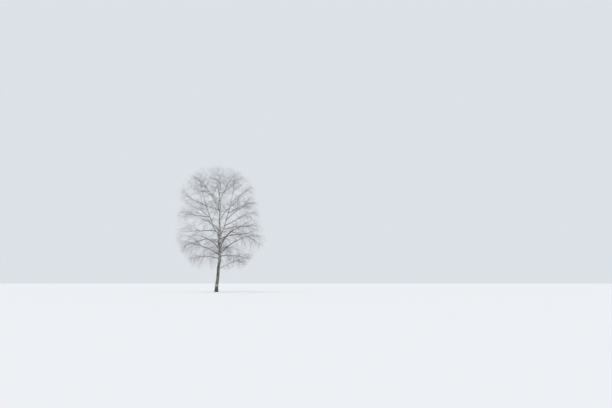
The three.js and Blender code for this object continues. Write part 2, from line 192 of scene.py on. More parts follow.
def tapered(name, seed, line, girth, parent_radius, bare):
    """A limb with this line: its radii from the root to the tip, and the steps that bear no mass of twigs."""
    last = len(line) - 1
    girth = min(girth or GIRTH_PER_LENGTH * last * LIMB_STEP, parent_radius)
    return {
        "name": name,
        "seed": seed,
        "line": line,
        "radii": girth * (1 - np.arange(last + 1) / last) ** LIMB_TAPER,
        "girth": girth,
        "parent_radius": parent_radius,
        "bare_steps": 2 * nearest(bare * len(line) / 2),
    }


def grow_limb(name, parent, at, toward, rise, end_rise, own, seed):
    """Grows one of the limbs from the place where its parent's axis passes its height."""
    line, radii = parent["line"], parent["radii"]
    i = next(k for k in range(1, len(line)) if line[k][2] >= at)
    share = (at - line[i - 1][2]) / (line[i][2] - line[i - 1][2])
    root = line[i - 1] + share * (line[i] - line[i - 1])
    root_radius = radii[i - 1] + share * (radii[i] - radii[i - 1])
    line = whole_rings(grow_line(root, toward, rise, end_rise, own.get("bend", 1), dice(seed)))
    return tapered(name, seed, line, own.get("girth"), root_radius, own.get("bare", BARE_SHARE))


trunk_heights = np.arange(0, TRUNK_TOP + LIMB_STEP / 2, LIMB_STEP)
limbs = {
    "trunk": {
        "name": "trunk",
        "seed": TRUNK_SEED,
        "line": trunk_axis(trunk_heights),
        "radii": np.interp(trunk_heights, TRUNK_HEIGHTS, TRUNK_RADII),
    }
}
for number, (name, parent, *row) in enumerate(LIMBS):
    limbs[name] = grow_limb(name, limbs[parent], *row, FIRST_SEED + number)
trunk = limbs.pop("trunk")

# The trunk: one stem of birch wood in its own bark. The foot flares to the roots under thick dark plates,
# and above it the bark is pale paper, split by dark clefts, with a dark scar over each branch collar.

TRUNK_SIDES = 128
TRUNK_RINGS = 690
FOOT_RING_SHARE = 0.45  # the spacing of the rings at the foot, as a share of the mean spacing
FLARE_WIDTH = 0.095
FLARE_HEIGHT = 0.33
ROOT_LOBES = 5
LOBE_SHARE = 0.28
PLATE_WIDTH = 0.062
PLATE_STRETCH = 3.0  # a plate of the rough bark is this many times as tall as it is wide
PLATE_WARP = 0.6
PLATE_DEPTH = 0.018
CRACKS = 2.6  # each plate is cracked into smaller ones this many times as fine
CRACK_SHARE = 0.4  # and the cracks are as deep as this share of the furrows
PLATE_HEIGHTS = (0.8, 2.5)  # rough all round up to the first height, and gone by the second
PLATE_GRIT = 0.003
BORDER_WAVER = 0.45  # how far up or down the edges between kinds of bark waver
BORDER_RAGGED = 0.2
CLEFT_WIDTH = 0.16
CLEFT_DEPTH = 0.007
CLEFT_HEIGHTS = (5.5, 10.5)  # the clefts thin out between these heights
SWELLING = 0.007
EVEN_TOP = 0.3  # the relief runs out over this length at the leader's tip
AGE_HEIGHTS = (3.6, 4.6, 6.2, 8.4)  # the bark greys with age from the top down
AGE_SHARES = (1.0, 0.38, 0.12, 0)
PATCH_TOWARD = math.radians(-84)  # a patch of old pale bark that is left on the rough foot
PATCH_HEIGHT = 0.94
PATCH_SPREAD = 0.16
PATCH_RAGGED = 0.4  # as a share of its spread
PATCH_SHARE = 0.92  # how much of the rough bark it takes away

TRUNK_PALE = (0.73, 0.71, 0.60, 1)
TRUNK_SHADE = (0.155, 0.152, 0.103, 1)
TRUNK_DARK = (0.030, 0.026, 0.023, 1)
TRUNK_PLATES = (0.46, 0.42, 0.38, 1)
TRUNK_FOOT_BROWN = (0.105, 0.068, 0.048, 1)  # the darker brown that the lowest plates turn to towards the ground
FOOT_BROWN_HEIGHTS = (0.35, 0.95)

# How fine each pattern of the bark is: its waves to a metre across the limb, twice, and along it.
CLOUD_GRAIN = (3.2, 3.2, 1.3)
STREAK_GRAIN = (5, 5, 95)
LENTICEL_GRAIN = (17, 17, 120)
BLOTCH_GRAIN = (8.5, 8.5, 5.5)
GRIT_GRAIN = (60, 60, 26)
FLAKE_GRAIN = (14, 14, 6)

# The collar round a limb's root and the dark scar that arches over it, all in girths of the limb.
COLLAR_RISE = 0.5
COLLAR_SPREAD = 1.7
SCAR_LIFT = 1.9
SCAR_SLOPE = 0.75
SCAR_WIDTH = 0.75
SCAR_SPAN = 3.2
ROOT_MARK = 1.5
ROOT_MARK_SHARE = 0.8


def tube_of(name, sides, rings):
    """A closed upright tube of radius 1 and height 1 on the origin, to be bent along a line."""
    bm = bmesh.new()
    bmesh.ops.create_cone(
        bm, cap_ends=True, cap_tris=True, segments=sides, radius1=1, radius2=1, depth=1
    )
    upright = [edge for edge in bm.edges if abs(edge.verts[0].co.z - edge.verts[1].co.z) > 0.5]
    bmesh.ops.subdivide_edges(bm, edges=upright, cuts=rings - 1, use_grid_fill=True)
    bmesh.ops.translate(bm, verts=bm.verts, vec=(0, 0, 0.5))
    mesh = bpy.data.meshes.new(name)
    bm.to_mesh(mesh)
    bm.free()
    return mesh


def spots_of(mesh):
    """The mesh's vertices as an array."""
    flat = np.empty(len(mesh.vertices) * 3, dtype=np.float32)
    mesh.vertices.foreach_get("co", flat)
    return flat.reshape(-1, 3).astype(float)


def finish_wood(mesh, spots, materials):
    """Puts a mesh's vertices in place, and makes it a smooth piece on the tree's one body."""
    mesh.vertices.foreach_set("co", spots.astype(np.float32).ravel())
    mesh.polygons.foreach_set("use_smooth", np.ones(len(mesh.polygons), dtype=bool))
    mesh.update()
    for material in materials:
        mesh.materials.append(material)
    piece = bpy.data.objects.new(mesh.name, mesh)
    bpy.context.scene.collection.objects.link(piece)
    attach(piece, "root")
    return piece


def write_map(mesh, name, values):
    """Keeps a value, or a vector, for each vertex, for the bark to read."""
    kind = "FLOAT" if values.ndim == 1 else "FLOAT_VECTOR"
    field = "value" if values.ndim == 1 else "vector"
    layer = mesh.attributes.new(name, kind, "POINT")
    layer.data.foreach_set(field, values.astype(np.float32).ravel())


def noise_at(spots, scale):
    """Smooth noise from -1 to 1 at each spot. The scale is one number or one for each axis."""
    return np.array([noise.noise(Vector(spot)) for spot in spots * scale])


def node_of(tree, kind, settings=None, **inputs):
    """Adds a node. An input is a value, or the socket of another node that feeds it."""
    node = tree.nodes.new(kind)
    for key, value in (settings or {}).items():
        setattr(node, key, value)
    for key, value in inputs.items():
        socket = node.inputs[int(key[1:])] if key[0] == "i" and key[1:].isdigit() else node.inputs[key]
        if isinstance(value, bpy.types.NodeSocket):
            tree.links.new(value, socket)
        else:
            socket.default_value = value
    return node


def bark_group_of(name, inputs):
    """A new group of bark nodes. Each input is a name with its kind and its first value."""
    group = bpy.data.node_groups.new(name, "ShaderNodeTree")
    for label, kind, value in inputs:
        socket = group.interface.new_socket(label, in_out="INPUT", socket_type=kind)
        socket.default_value = value
    for label, kind in (("Color", "Color"), ("Roughness", "Float"), ("Height", "Float")):
        group.interface.new_socket(label, in_out="OUTPUT", socket_type="NodeSocket" + kind)
    given = group.nodes.new("NodeGroupInput")
    return group, given, group.nodes.new("NodeGroupOutput")


def stretched_noise(tree, grain, stretch, detail=2.0):
    """Noise on the grain of the bark, with its own scale across and along the limb."""
    scaled = node_of(tree, "ShaderNodeVectorMath", {"operation": "MULTIPLY"}, i0=grain, i1=stretch)
    return node_of(tree, "ShaderNodeTexNoise", Vector=scaled.outputs[0], Scale=1.0, Detail=detail).outputs[0]


def ramped(tree, value, low, high, to_low=0.0, to_high=1.0):
    """A value mapped smoothly from low and high to two others."""
    node = node_of(tree, "ShaderNodeMapRange", {"interpolation_type": "SMOOTHSTEP"}, i0=value)
    for key, given in (("From Min", low), ("From Max", high), ("To Min", to_low), ("To Max", to_high)):
        if isinstance(given, bpy.types.NodeSocket):
            tree.links.new(given, node.inputs[key])
        else:
            node.inputs[key].default_value = given
    return node.outputs[0]


def math_of(tree, operation, first, second):
    """Two values added, multiplied or compared."""
    return node_of(tree, "ShaderNodeMath", {"operation": operation}, i0=first, i1=second).outputs[0]


def mixed(tree, share, first, second):
    """A mix of two colours."""
    node = node_of(tree, "ShaderNodeMix", {"data_type": "RGBA"}, i0=share, i6=first, i7=second)
    return node.outputs[2]


def build_bark_group():
    """Birch bark: paper with fine level streaks and lenticels, dark blotches, clefts, scars and plates."""
    inputs = (
        ("Pale", "NodeSocketColor", TRUNK_PALE),
        ("Shade", "NodeSocketColor", TRUNK_SHADE),
        ("Dark", "NodeSocketColor", TRUNK_DARK),
        ("Plates", "NodeSocketColor", TRUNK_PLATES),
        ("Foot brown", "NodeSocketColor", TRUNK_FOOT_BROWN),
        ("Blotches", "NodeSocketFloat", 0.5),
        ("Film", "NodeSocketFloat", 0.3),
        ("Aged", "NodeSocketFloat", 0.7),
    )
    group, given, made = bark_group_of("birch_bark", inputs)
    grain = node_of(group, "ShaderNodeAttribute", {"attribute_name": "grain"}).outputs["Vector"]
    maps = {
        name: node_of(group, "ShaderNodeAttribute", {"attribute_name": name}).outputs["Fac"]
        for name in ("rough", "cleft", "scar", "age", "foot_brown")
    }
    cloud = ramped(group, stretched_noise(group, grain, CLOUD_GRAIN, 4), 0.38, 0.62)
    streak = ramped(group, stretched_noise(group, grain, STREAK_GRAIN, 3), 0.48, 0.66)
    lenticel = ramped(group, stretched_noise(group, grain, LENTICEL_GRAIN, 1), 0.63, 0.68)
    spread = math_of(group, "MULTIPLY", given.outputs["Blotches"], -0.16)
    low = math_of(group, "ADD", spread, 0.64)
    high = math_of(group, "ADD", low, 0.05)
    blotch = ramped(group, stretched_noise(group, grain, BLOTCH_GRAIN, 5), low, high)
    film = math_of(group, "MULTIPLY", cloud, given.outputs["Film"])
    old = ramped(group, cloud, 0, 1, given.outputs["Aged"], 1)
    film = math_of(group, "MAXIMUM", film, math_of(group, "MULTIPLY", maps["age"], old))
    plate_grit = ramped(group, stretched_noise(group, grain, GRIT_GRAIN, 5), 0.3, 0.65)
    flakes = ramped(group, stretched_noise(group, grain, FLAKE_GRAIN, 4), 0.58, 0.66, 0, 0.6)

    colour = mixed(group, film, given.outputs["Pale"], given.outputs["Shade"])
    colour = mixed(group, math_of(group, "MULTIPLY", streak, 0.32), colour, given.outputs["Shade"])
    colour = mixed(group, math_of(group, "MULTIPLY", lenticel, 0.8), colour, given.outputs["Dark"])
    colour = mixed(group, math_of(group, "MULTIPLY", blotch, 0.92), colour, given.outputs["Dark"])
    plates = mixed(group, plate_grit, given.outputs["Shade"], given.outputs["Plates"])
    plates = mixed(group, flakes, plates, given.outputs["Pale"])
    # The lowest plates turn a darker brown towards the ground.
    plates = mixed(group, math_of(group, "MULTIPLY", maps["foot_brown"], 0.7), plates, given.outputs["Foot brown"])
    colour = mixed(group, maps["rough"], colour, plates)
    # Dark in the clefts, which is the bark's own, and in the furrows of the rough foot, which is partly
    # painted shade.
    colour = mixed(group, maps["cleft"], colour, given.outputs["Dark"])
    colour = mixed(group, maps["scar"], colour, given.outputs["Dark"])
    group.links.new(colour, made.inputs["Color"])

    marks = math_of(group, "MAXIMUM", blotch, maps["rough"])
    group.links.new(ramped(group, marks, 0, 1, 0.58, 0.92), made.inputs["Roughness"])
    grit = math_of(group, "MULTIPLY", plate_grit, ramped(group, marks, 0, 1, 0.12, 1))
    sunk = math_of(group, "MULTIPLY", math_of(group, "ADD", lenticel, blotch), -0.35)
    raised = math_of(group, "ADD", grit, sunk)
    height = math_of(group, "ADD", raised, math_of(group, "MULTIPLY", streak, 0.15))
    group.links.new(height, made.inputs["Height"])
    return group


bark_group = build_bark_group()


def bark_material(name, group, relief, specular, **values):
    """Bark in its own colours. The relief is the depth of its bump in metres."""
    material = bpy.data.materials.new(name)
    material.use_nodes = True
    tree = material.node_tree
    shader = tree.nodes["Principled BSDF"]
    bark = node_of(tree, "ShaderNodeGroup", {"node_tree": group}, **values)
    bump = node_of(tree, "ShaderNodeBump", Distance=relief, Height=bark.outputs["Height"])
    tree.links.new(bark.outputs["Color"], shader.inputs["Base Color"])
    tree.links.new(bark.outputs["Roughness"], shader.inputs["Roughness"])
    tree.links.new(bump.outputs["Normal"], shader.inputs["Normal"])
    shader.inputs["Specular IOR Level"].default_value = specular
    return material


def plate_ridges(grain):
    """How high the rough bark stands at each spot: 0 in the furrows and 1 on the plates."""
    stretch = np.array([1, 1, 1 / PLATE_STRETCH]) / PLATE_WIDTH
    warp = np.stack([noise_at(grain + shift, 8) for shift in (0, 10, 20)], axis=-1)
    plates = grain * stretch + PLATE_WARP * warp
    gaps = []
    for fineness in (1, CRACKS):
        near = [noise.voronoi(Vector(spot))[0] for spot in plates * fineness]
        gaps.append(np.array([distances[1] - distances[0] for distances in near]))
    return fade(gaps[0], 0.01, 0.26) * (1 - CRACK_SHARE + CRACK_SHARE * fade(gaps[1], 0.01, 0.2))


def branch_marks(angle, height, radius):
    """The swelling of the collars round the limbs' roots, and the dark scars that arch over them."""
    swell = np.zeros_like(height)
    scar = np.zeros_like(height)
    for name, parent, at, toward, *_ in LIMBS:
        if parent != "trunk" or name == "top":
            continue
        limb = limbs[name]
        girth = limb["girth"]
        steep = (limb["line"][1] - limb["line"][0]) / LIMB_STEP
        level = max(0.3, math.hypot(steep[0], steep[1]))
        centre = at + limb["parent_radius"] * steep[2] / level
        round_by = np.angle(np.exp(1j * (angle - math.radians(toward)))) * radius
        up_by = height - centre
        near = np.hypot(round_by, up_by * level)
        collar = COLLAR_RISE * girth * np.exp(-((near / (COLLAR_SPREAD * girth)) ** 2))
        swell = np.maximum(swell, collar)
        arch = up_by + SCAR_SLOPE * np.abs(round_by) - SCAR_LIFT * girth
        arch_share = np.exp(-((arch / (SCAR_WIDTH * girth)) ** 2) - (round_by / (SCAR_SPAN * girth)) ** 2)
        root_share = ROOT_MARK_SHARE * np.exp(-((near / (ROOT_MARK * girth)) ** 2))
        scar = np.maximum(scar, np.maximum(arch_share, root_share))
    return swell, scar


tube = tube_of("trunk_bark_shell", TRUNK_SIDES, TRUNK_RINGS)
spots = spots_of(tube)
angle = np.arctan2(spots[:, 1], spots[:, 0])
wall = np.hypot(spots[:, 0], spots[:, 1])
share_up = np.clip(spots[:, 2], 0, 1)
height = TRUNK_TOP * (FOOT_RING_SHARE * share_up + (1 - FOOT_RING_SHARE) * share_up**2)
radius = np.interp(height, TRUNK_HEIGHTS, TRUNK_RADII)
lobe = 1 - LOBE_SHARE + LOBE_SHARE * np.cos(ROOT_LOBES * (math.pi / 2 - angle))
radius += FLARE_WIDTH * lobe * np.exp(-height / FLARE_HEIGHT)
grain = np.stack([radius * np.cos(angle), radius * np.sin(angle), height], axis=-1)

border = BORDER_WAVER * noise_at(grain, 2.2) + BORDER_RAGGED * noise_at(grain, 6)
off_patch = np.hypot(np.angle(np.exp(1j * (angle - PATCH_TOWARD))) * radius, height - PATCH_HEIGHT)
off_patch += PATCH_RAGGED * PATCH_SPREAD * noise_at(grain, 13)
patch = PATCH_SHARE * (1 - fade(off_patch, 0.75 * PATCH_SPREAD, 1.25 * PATCH_SPREAD))
rough = (1 - fade(height + border, *PLATE_HEIGHTS)) * (1 - patch)
ridges = plate_ridges(grain)
cleft_noise = noise_at(grain, np.array([1, 1, 0.42]) / CLEFT_WIDTH) + 0.25 * noise_at(grain, 30)
cleft = fade(cleft_noise, 0.26, 0.40) * (1 - fade(height, *CLEFT_HEIGHTS)) * (1 - rough) * (1 - patch)
swell, scar = branch_marks(angle, height, radius)
scar *= fade(noise_at(grain, 24) + 0.75, 0, 0.6)
# The furrows between the plates are darkened: partly the bark's own darker cracks, partly painted shade in
# the recesses.
furrow_dark_and_shade = rough * (1 - ridges)
relief = PLATE_DEPTH * rough * (ridges - 0.7) - CLEFT_DEPTH * cleft + swell
relief += SWELLING * noise_at(grain, (3, 3, 1.1)) + PLATE_GRIT * rough * noise_at(grain, 45)
relief *= 1 - fade(height, TRUNK_TOP - EVEN_TOP, TRUNK_TOP)

reach = wall * (radius + relief)
spots = trunk_axis(height) + np.stack([reach * np.cos(angle), reach * np.sin(angle), 0 * height], axis=-1)
write_map(tube, "grain", grain)
write_map(tube, "rough", rough)
# The cleft map darkens the clefts, which are dark bark, and the furrows of the rough foot, where the dark is
# partly painted shade.
write_map(tube, "cleft", np.maximum(cleft, furrow_dark_and_shade))
write_map(tube, "scar", scar)
write_map(tube, "age", np.interp(height + border, AGE_HEIGHTS, AGE_SHARES) * (1 - patch))
# The lowest plates turn a darker brown towards the ground, between these heights.
write_map(tube, "foot_brown", 1 - fade(height + 0.6 * border, *FOOT_BROWN_HEIGHTS))
trunk_bark = bark_material(
    "trunk_bark", bark_group, relief=0.006, specular=0.3,
    Pale=TRUNK_PALE, Shade=TRUNK_SHADE, Dark=TRUNK_DARK, Blotches=0.65, Film=0.3, Aged=0.78,
)
piece = finish_wood(tube, spots, [trunk_bark])
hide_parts("trunk")

# The side stems and boughs: tapering limbs of the same wood, that grow out of the trunk or a side stem
# through a swollen collar. The side stems wear pale bark, and the boughs a thin dark grey-brown one.

STEM_SIDES = 36
BOUGH_SIDES = 20
RING_SPACING = 0.045
LIMB_TIP = 0.0015
ROOT_SUNK = 0.8  # a limb comes out of its parent at this share of the parent's radius
COLLAR_SWELL = 0.55
COLLAR_LENGTH = 1.6  # in girths of the limb, as the dark root is
DARK_ROOT_LENGTH = 2.5
WIDEST_COLLAR = 0.9  # as a share of the parent's radius
KNOT_SWELL = 0.10
PALE_RADII = (0.026, 0.060)  # a bough's bark turns from thin and dark to pale between these radii
PALE_HEIGHTS = (8.5, 11.5)  # if it is as high as this in the crown

STEM_PALE = (0.69, 0.66, 0.54, 1)
STEM_SHADE = (0.25, 0.23, 0.165, 1)
BOUGH_PALE = (0.60, 0.575, 0.51, 1)
BOUGH_SHADE = (0.058, 0.048, 0.045, 1)
BOUGH_DARK = (0.022, 0.018, 0.017, 1)

stem_bark = bark_material(
    "stem_bark", bark_group, relief=0.004, specular=0.3,
    Pale=STEM_PALE, Shade=STEM_SHADE, Dark=TRUNK_DARK, Blotches=0.7, Film=0.35, Aged=0.7,
)
bough_bark = bark_material(
    "bough_bark", bark_group, relief=0.003, specular=0.3,
    Pale=BOUGH_PALE, Shade=BOUGH_SHADE, Dark=BOUGH_DARK, Blotches=0.3, Film=0.3, Aged=0.86,
)


def curve_through(points, spots):
    """The smooth curve through these points, at spots counted from 0 along them."""
    before = np.clip(np.floor(spots).astype(int), 0, len(points) - 2)
    part = (spots - before)[:, None]
    padded = np.concatenate([2 * points[:1] - points[1:2], points, 2 * points[-1:] - points[-2:-1]])
    a, b, c, d = (padded[before + k] for k in range(4))
    bend = (2 * a - 5 * b + 4 * c - d) * part**2 + (3 * b - a - 3 * c + d) * part**3
    return b + 0.5 * ((c - a) * part + bend)


def frames_along(points):
    """Two directions across a line at each of its points, which don't twist along it."""
    ways = unit(np.gradient(points, axis=0))
    across = np.empty_like(points)
    last = np.array([0.0, 1.0, 0.0]) if abs(ways[0][0]) > 0.9 else np.array([1.0, 0.0, 0.0])
    for i, way in enumerate(ways):
        last = unit(last - way * (last @ way))
        across[i] = last
    return across, np.cross(ways, across)


def limb_tube(limb, sides, spacing):
    """A limb as one tapering tube in its bark, from inside its parent to its tip: its mesh and its spots."""
    steps = len(limb["line"]) - 1
    rings = round(steps * LIMB_STEP / spacing)
    tube = tube_of(limb["name"] + "_bark_shell", sides, rings)
    spots = spots_of(tube)
    ring = np.rint(spots[:, 2] * rings).astype(int)
    angle = np.arctan2(spots[:, 1], spots[:, 0])
    wall = np.hypot(spots[:, 0], spots[:, 1])

    stations = np.linspace(0, steps, rings + 1)
    line = curve_through(limb["line"], stations)
    across, over = frames_along(line)
    along = stations * LIMB_STEP
    radii = np.interp(stations, np.arange(steps + 1), limb["radii"])
    past_parent = np.maximum(0, along - ROOT_SUNK * limb["parent_radius"])
    room = WIDEST_COLLAR * limb["parent_radius"] - limb["girth"]
    collar = max(0, min(COLLAR_SWELL * limb["girth"], room))
    radii = radii + collar * np.exp(-past_parent / (COLLAR_LENGTH * limb["girth"]))
    radii = np.maximum(radii, LIMB_TIP)

    radius = radii[ring]
    seed_shift = limb["seed"] % 97
    grain = np.stack([radius * np.cos(angle), radius * np.sin(angle), along[ring] + seed_shift], axis=-1)
    knots = noise_at(grain, (2, 2, 5.5)) + 0.5 * noise_at(grain, (14, 14, 11))
    reach = (wall * radius * (1 + KNOT_SWELL * knots))[:, None]
    direction = over[ring] * np.cos(angle)[:, None] + across[ring] * np.sin(angle)[:, None]
    write_map(tube, "grain", grain)
    root_dark = np.exp(-past_parent / (DARK_ROOT_LENGTH * limb["girth"]))[ring]
    write_map(tube, "scar", root_dark * fade(noise_at(grain, 18) + 0.5, 0, 0.6))
    spots = line[ring] + reach * direction
    if not limb["name"].endswith("_stem"):
        thick = fade(radius + 0.004 * knots, *PALE_RADII)
        write_map(tube, "age", 1 - thick * fade(spots[:, 2], *PALE_HEIGHTS))
    return tube, spots


for name, limb in limbs.items():
    is_stem = name.endswith("_stem")
    tube, spots = limb_tube(limb, STEM_SIDES if is_stem else BOUGH_SIDES, RING_SPACING)
    piece = finish_wood(tube, spots, [stem_bark if is_stem else bough_bark])
    if is_stem:
        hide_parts(name, name + "_twigs")
    elif name == "top":
        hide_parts("top_twigs")
    else:
        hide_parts(name + "_bough", name + "_twigs")

# The forks: lesser boughs that leave the boughs, the side stems and the upper trunk, and carry the crown out
# between them. They wear the boughs' dark bark, and the forks of a few neighbours are joined in one piece.

SPRAYS = {
    "left_skirt": ("left_low", "left_lower", "left_back"),
    "left_side": ("left_far", "left_high", "left_rear", "left_upper", "left_stem"),
    "right_skirt": ("right_lowest", "right_low", "right_rising", "right_riser", "right_droop"),
    "right_side": ("right_far", "right_high", "right_front"),
    "right_crown": ("right_upper", "right_shoulder", "right_stem"),
    "front_side": ("front_low", "front_mid", "front_left", "front_high"),
    "back_side": ("back_low", "back_mid", "back_high"),
    "crown_top": ("front_upper", "back_upper", "high_front", "top"),
}
# A stem bears forks at even steps from `start` to `end` along it, at the angle `spread` in degrees off it.
# `flatten` lays a fork level, and `reach` is how far it grows for each metre of the stem that is left.
FORKS = {"start": 0.03, "end": 0.95, "spread": 50, "flatten": 0.8, "reach": 0.9}
FORK_TURNS = 5  # a fork takes the most open of this many ways round its stem
FORK_HEIGHTS = (5, 7.5, 10, 13)
FORKS_PER_STEP = (0.36, 0.21, 0.32, 0.56)
LEAST_REACH = 1.8
LEAST_FORK_STEPS = 4
FORK_CLEARANCE = 0.22  # a fork ends where it comes this near to another limb
FORK_SEEDS = 40
FORK_GIRTH = 0.7
FORK_GIRTH_PER_LENGTH = 0.0095
FORK_SIDES = 10
FORK_SPACING = 0.1
END_RISE_HEIGHTS = (5.5, 9, 14)
END_RISES = (-55, -10, 45)
GOLDEN_ANGLE = math.radians(137.5)


def child_seeds(seeds, index):
    """A seed of its own for each child of a stem or twig."""
    return (seeds * 69069 + index * 7919 + 1) % 2**32


def headings_off(way, turn, kind):
    """Directions off a parent's: tilted by the kind's spread, turned round it, and laid level."""
    side = unit(np.cross(way, (0, 0, 1)))
    over = np.cross(side, way)
    spread = math.radians(kind["spread"])
    headings = way * math.cos(spread) + (side * np.cos(turn) + over * np.sin(turn)) * math.sin(spread)
    return unit(headings * (1, 1, kind["flatten"]))


def segments_of(lines):
    """All the steps of some lines as starts and ends."""
    return np.concatenate([line[:-1] for line in lines]), np.concatenate([line[1:] for line in lines])


def distances_to(segments, points):
    """How far each point is from each segment."""
    starts, ends = segments
    span = ends - starts
    offset = points[:, None] - starts
    share = np.clip((offset * span).sum(-1) / (span * span).sum(-1), 0, 1)
    return np.linalg.norm(offset - share[..., None] * span, axis=-1)


def fork_at(limb, index, count, own, others):
    """One fork of a limb's stem, on the most open side, or none where there is no room."""
    line, radii = limb["line"][limb["bare_steps"]:], limb["radii"][limb["bare_steps"]:]
    last = len(line) - 1
    share = FORKS["start"] + (FORKS["end"] - FORKS["start"]) * (index + 0.5) / count
    step = max(1, int(share * last))
    root, way = line[step], unit(line[step + 1] - line[step])
    end_rise = np.interp(root[2], END_RISE_HEIGHTS, END_RISES)
    reach = LEAST_REACH + FORKS["reach"] * (1 - share) * last * LIMB_STEP
    first_share = float(crown_share(root))
    if first_share >= 1:
        return None
    seed = child_seeds(limb["seed"], index + FORK_SEEDS)
    best, best_room = None, 0
    for turn_number in range(FORK_TURNS):
        roll = dice(seed)
        turn = index * GOLDEN_ANGLE + next(roll) - 0.5 + 2 * math.pi * turn_number / FORK_TURNS
        heading = headings_off(way, turn, FORKS)
        toward = math.degrees(math.atan2(heading[1], heading[0]))
        rise = math.degrees(math.asin(heading[2]))
        tried = grow_line(root, toward, rise, end_rise, 1, roll, reach, first_share)
        near = distances_to(others, tried).min(-1) < FORK_CLEARANCE
        tried = whole_rings(tried[: near.argmax()] if near.any() else tried)
        if len(tried) <= LEAST_FORK_STEPS:
            continue
        room = min(distances_to(others, tried[-1:]).min(), distances_to(own, tried[-1:]).min())
        if room > best_room:
            best, best_room = tried, room
    if best is None:
        return None
    girth = min(FORK_GIRTH * radii[step], FORK_GIRTH_PER_LENGTH * LIMB_STEP * (len(best) - 1))
    return tapered(f"{limb['name']}_fork_{index + 1}", seed, best, girth, radii[step], 0)


forks = {name: [] for name in limbs}
for name, limb in limbs.items():
    per_step = np.interp(limb["line"][limb["bare_steps"]][2], FORK_HEIGHTS, FORKS_PER_STEP)
    count = nearest(per_step * (len(limb["line"]) - 1 - limb["bare_steps"]))
    for index in range(count):
        own = segments_of([limb["line"]] + [fork["line"] for fork in forks[name]])
        grown = [trunk] + [other for other in limbs.values() if other is not limb]
        grown += [fork for other, brood in forks.items() if other != name for fork in brood]
        fork = fork_at(limb, index, count, own, segments_of([wood["line"] for wood in grown]))
        if fork:
            forks[name].append(fork)
for spray, names in SPRAYS.items():
    tubes = [limb_tube(fork, FORK_SIDES, FORK_SPACING) for name in names for fork in forks[name]]
    bm = bmesh.new()
    for tube, spots in tubes:
        tube.vertices.foreach_set("co", spots.astype(np.float32).ravel())
        bm.from_mesh(tube)
        bpy.data.meshes.remove(tube)
    joined = bpy.data.meshes.new(spray + "_forks")
    bm.to_mesh(joined)
    bm.free()
    piece = finish_wood(joined, spots_of(joined), [bough_bark])
    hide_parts(*(name + "_twigs" for name in names))

# The twigs: bare winter growth in a smooth dark purple-brown bark. Branchlets grow on the end of each limb
# and bear twigs, which bear the fine twigs that hang at their ends. Each spray takes one of four tints.

# A parent bears `count` children from `start` along it, or `per_step`. `spread` is the angle off the parent
# in degrees, `flatten` lays a child level, and `sag` turns each step down. `girth` is the largest radius.
BRANCHLETS = {
    "per_step": 1.26, "start": 0.04, "spread": 50, "flatten": 0.8, "length": 2.0, "sag": 0.06,
    "girth": 0.010, "wander": 0.32, "steps": 6, "sides": 5,
}
TWIGS = {
    "count": 7, "start": 0.2, "spread": 44, "flatten": 0.9, "length": 0.95, "sag": 0.2,
    "girth": 0.0050, "wander": 0.26, "steps": 6, "sides": 3,
}
HANGING_TWIGS = {
    "count": 5, "start": 0.3, "spread": 50, "flatten": 0.3, "length": 2.4, "sag": 0.8,
    "girth": 0.0028, "wander": 0.22, "steps": 6, "sides": 3,
}
FINE_TWIGS = {
    "count": 5, "start": 0.12, "spread": 38, "flatten": 0.85, "length": 0.5, "sag": 0.35,
    "girth": 0.0018, "wander": 0.4, "steps": 2, "sides": 3,
}
HANGING_BELOW = 9.5
TIP_LENGTH = 0.55
LENGTH_SPREAD = 0.4
CHILD_GIRTH = 0.55
TWIG_TAPER = 0.55
INNER_BRANCHLETS = {**BRANCHLETS, "spread": 72}  # on the bare wood of the boughs and the trunk
INNER_HEIGHTS = (5.1, 6)
INNER_PER_STEP = (1.2, 0.4)  # on a bough that starts at these heights
TRUNK_INNER = ((12, 19, 1.2), (19, None, 0.4))  # from this step of the trunk to that one, so many a step
INNER_SEEDS = 5000
FITS = (1, 0.7, 0.45)
SPACE_MARGIN = 0.09
LIMB_MARGIN = 0.08
BOX_MARGIN = 0.02  # share of each side of the CAD box that a twig may pass it by
RAGGED = 0.09  # twigs pass the crown's outline by up to this share of its radius
RAGGED_DRAW = (12.9898, 78.233, 37.719)  # draws a share for each twig from the place of its root
CROWD_CELL = 0.8  # twigs are shed where this wide a cube of the crown holds too many
CROWD_INSIDE = 2  # which is this many in the middle of the crown
CROWD_OUTSIDE = 8  # and this many at its outline
CROWD_HEIGHTS = (4.8, 6.2, 9, 11)
CROWD_SHARES = (2.5, 0.35, 0.45, 1.5)

TINT_DRAW = 64  # a branchlet's tint is drawn from the part of its seed above this
TWIG_TINTS = (
    ((0.090, 0.058, 0.066, 1), (0.138, 0.092, 0.100, 1)),
    ((0.110, 0.078, 0.082, 1), (0.168, 0.122, 0.124, 1)),
    ((0.076, 0.051, 0.060, 1), (0.118, 0.082, 0.092, 1)),
    ((0.126, 0.082, 0.086, 1), (0.180, 0.122, 0.124, 1)),
)


def in_reach(lines):
    """Whether twigs keep inside the box of the tree and the crown, with a ragged edge to the crown."""
    low, high = (np.array(corner) for corner in cad_box)
    margin = BOX_MARGIN * (high - low)
    points = lines[:, 1:]
    boxed = ((points > low - margin) & (points < high + margin)).all(-1)
    past_edge = RAGGED * (np.abs(lines[:, :1] @ RAGGED_DRAW) % 1)
    return ((crown_share(points) <= 1 + past_edge) & boxed).all(-1)


def twig_lines(roots, headings, lengths, kind, seeds):
    """The lines of many twigs at once: each step sags and wanders a little."""
    roll = dice(seeds)
    way = headings
    points = [roots]
    for _ in range(kind["steps"]):
        bend = np.stack([next(roll) - 0.5 for _ in range(3)], axis=-1) * kind["wander"]
        way = unit(way + bend - np.array([0, 0, kind["sag"]]))
        points.append(points[-1] + way * (lengths / kind["steps"])[:, None])
    return np.stack(points, axis=1)


